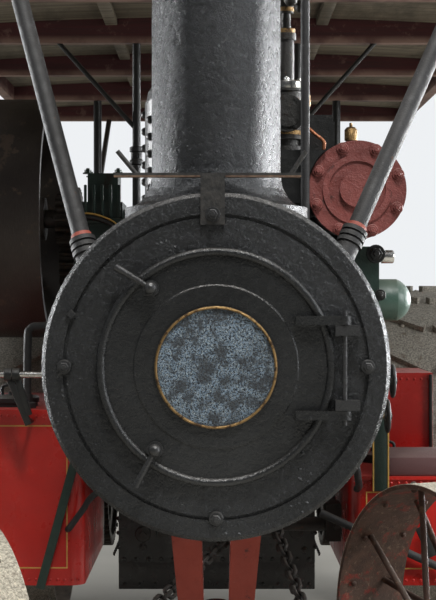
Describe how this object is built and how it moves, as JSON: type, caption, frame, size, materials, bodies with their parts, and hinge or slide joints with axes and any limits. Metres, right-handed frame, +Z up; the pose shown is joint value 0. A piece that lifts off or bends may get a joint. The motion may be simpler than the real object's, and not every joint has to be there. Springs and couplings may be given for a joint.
{
  "type": "steam traction engine",
  "caption": "Steam traction engine with a round smokebox door, tall chimney, side engine with flywheel, geared rear wheels, steered front axle, side tanks and a wooden canopy.",
  "frame": {"origin": "middle of the footprint of the whole engine, on the ground", "axes": "+Z up; the engine's front faces -Y; +X is its left side, where the cylinder is"},
  "size_m": [2.424, 5.0448, 3.05],
  "materials": {
    "smokebox_iron": "matte",
    "rusty_steel": "rusty",
    "black_paint": "satin",
    "brass": "worn",
    "red_paint": "gloss",
    "dull_red_paint": "satin",
    "green_paint": "satin",
    "bright_steel": "worn",
    "dark_iron": "greasy",
    "dusty_steel": "dusty",
    "rusty_wheel": "rusty",
    "maroon_wood": "worn paint",
    "bare_wood": "weathered",
    "brace_pipe": "worn"
  },
  "bodies": {
    "engine": {"smokebox": "smokebox_iron", "smokebox_front": "smokebox_iron", "door_hinge": "smokebox_iron", "chimney": "smokebox_iron", "lamp_bracket": "rusty_steel", "boiler_barrel": "black_paint", "steam_dome": "black_paint", "steam_fittings": "brass", "firebox": "black_paint", "ash_pan": "black_paint", "backhead_fittings": "brass", "cylinder_block": "black_paint", "cylinder_head": "dull_red_paint", "steam_chest": "black_paint", "engine_bed": "green_paint", "crosshead": "bright_steel", "connecting_rod": "bright_steel", "side_drum": "green_paint", "crank_bearings": "green_paint", "idler_bracket": "green_paint", "horn_plates": "black_paint", "rear_axle": "dark_iron", "pedestal": "dull_red_paint", "steering_chains": "rusty_steel", "chain_drum": "dark_iron", "drum_hangers": "black_paint", "steering_column": "dark_iron", "hand_wheel": "dark_iron", "water_tank": "red_paint", "left_tank": "red_paint", "bunker": "red_paint", "tank_beams": "black_paint", "platform": "dark_iron", "drawbar": "dark_iron", "canopy_joists": "maroon_wood", "canopy_rails": "maroon_wood", "canopy_boards": "bare_wood", "canopy_posts": "black_paint", "front_braces": "brace_pipe"},
    "smokebox_door": {"smokebox_door": "smokebox_iron", "door_plate": "brass", "door_dogs": "smokebox_iron"},
    "fire_door": {"fire_door": "black_paint"},
    "crankshaft": {"crankshaft": "bright_steel", "flywheel": "dark_iron"},
    "clutch_pinion": {"clutch_pinion": "dark_iron"},
    "idler_gear": {"idler_gear": "dark_iron"},
    "countershaft": {"countershaft": "dark_iron"},
    "left_pinion": {"left_pinion": "dark_iron"},
    "right_rear_wheel": {"right_rear_rim": "dusty_steel", "right_rear_spokes": "dusty_steel", "right_main_gear": "dark_iron"},
    "left_rear_wheel": {"left_rear_rim": "dusty_steel", "left_rear_spokes": "dusty_steel", "left_main_gear": "dark_iron"},
    "front_axle": {"front_axle": "rusty_wheel"},
    "right_front_wheel": {"right_front_rim": "rusty_wheel", "right_front_spokes": "rusty_wheel"},
    "left_front_wheel": {"left_front_rim": "rusty_wheel", "left_front_spokes": "rusty_wheel"}
  },
  "joints": [
    {"name": "smokebox_door_hinge", "type": "hinge", "parent": "engine", "child": "smokebox_door", "pos_m": [0.315, -2.2146, 1.31], "axis": [0, 0, 1], "range_deg": [0, 150]},
    {"name": "fire_door_hinge", "type": "hinge", "parent": "engine", "child": "fire_door", "pos_m": [0.218, 0.7144, 0.985], "axis": [0, 0, -1], "range_deg": [0, 110]},
    {"name": "crankshaft_spin", "type": "hinge", "parent": "engine", "child": "crankshaft", "pos_m": [0, 0.1074, 1.8], "axis": [1, 0, 0], "continuous": true},
    {"name": "right_rear_wheel_spin", "type": "hinge", "parent": "engine", "child": "right_rear_wheel", "pos_m": [-0.925, 1.0574, 0.77], "axis": [1, 0, 0], "continuous": true},
    {"name": "left_rear_wheel_spin", "type": "hinge", "parent": "engine", "child": "left_rear_wheel", "pos_m": [0.925, 1.0574, 0.77], "axis": [1, 0, 0], "continuous": true},
    {"name": "countershaft_spin", "type": "hinge", "parent": "engine", "child": "countershaft", "pos_m": [0, 0.8024, 1.21167], "axis": [1, 0, 0], "continuous": true},
    {"name": "left_pinion_spin", "type": "hinge", "parent": "engine", "child": "left_pinion", "pos_m": [0.51, 0.8024, 1.21167], "axis": [1, 0, 0], "continuous": true},
    {"name": "idler_gear_spin", "type": "hinge", "parent": "engine", "child": "idler_gear", "pos_m": [-0.61, 0.44784, 1.66561], "axis": [1, 0, 0], "continuous": true},
    {"name": "clutch_pinion_spin", "type": "hinge", "parent": "engine", "child": "clutch_pinion", "pos_m": [-0.61, 0.1074, 1.8], "axis": [1, 0, 0], "continuous": true},
    {"name": "steering", "type": "hinge", "parent": "engine", "child": "front_axle", "pos_m": [0, -1.6926, 0.46], "axis": [0, 0, 1], "range_deg": [-57, 3], "deforming": ["steering_chains"]},
    {"name": "right_front_wheel_spin", "type": "hinge", "parent": "front_axle", "child": "right_front_wheel", "pos_m": [-0.71281, -2.05579, 0.46], "axis": [0.891, 0.454, 0], "continuous": true},
    {"name": "left_front_wheel_spin", "type": "hinge", "parent": "front_axle", "child": "left_front_wheel", "pos_m": [0.71281, -1.3294, 0.46], "axis": [0.891, 0.454, 0], "continuous": true}
  ],
  "couplings": [
    {"joint": "countershaft_spin", "follows": "right_rear_wheel_spin", "ratio": -4.6667},
    {"joint": "idler_gear_spin", "follows": "right_rear_wheel_spin", "ratio": 5.0725},
    {"joint": "clutch_pinion_spin", "follows": "right_rear_wheel_spin", "ratio": -15.556},
    {"joint": "left_pinion_spin", "follows": "left_rear_wheel_spin", "ratio": -4.6667}
  ]
}
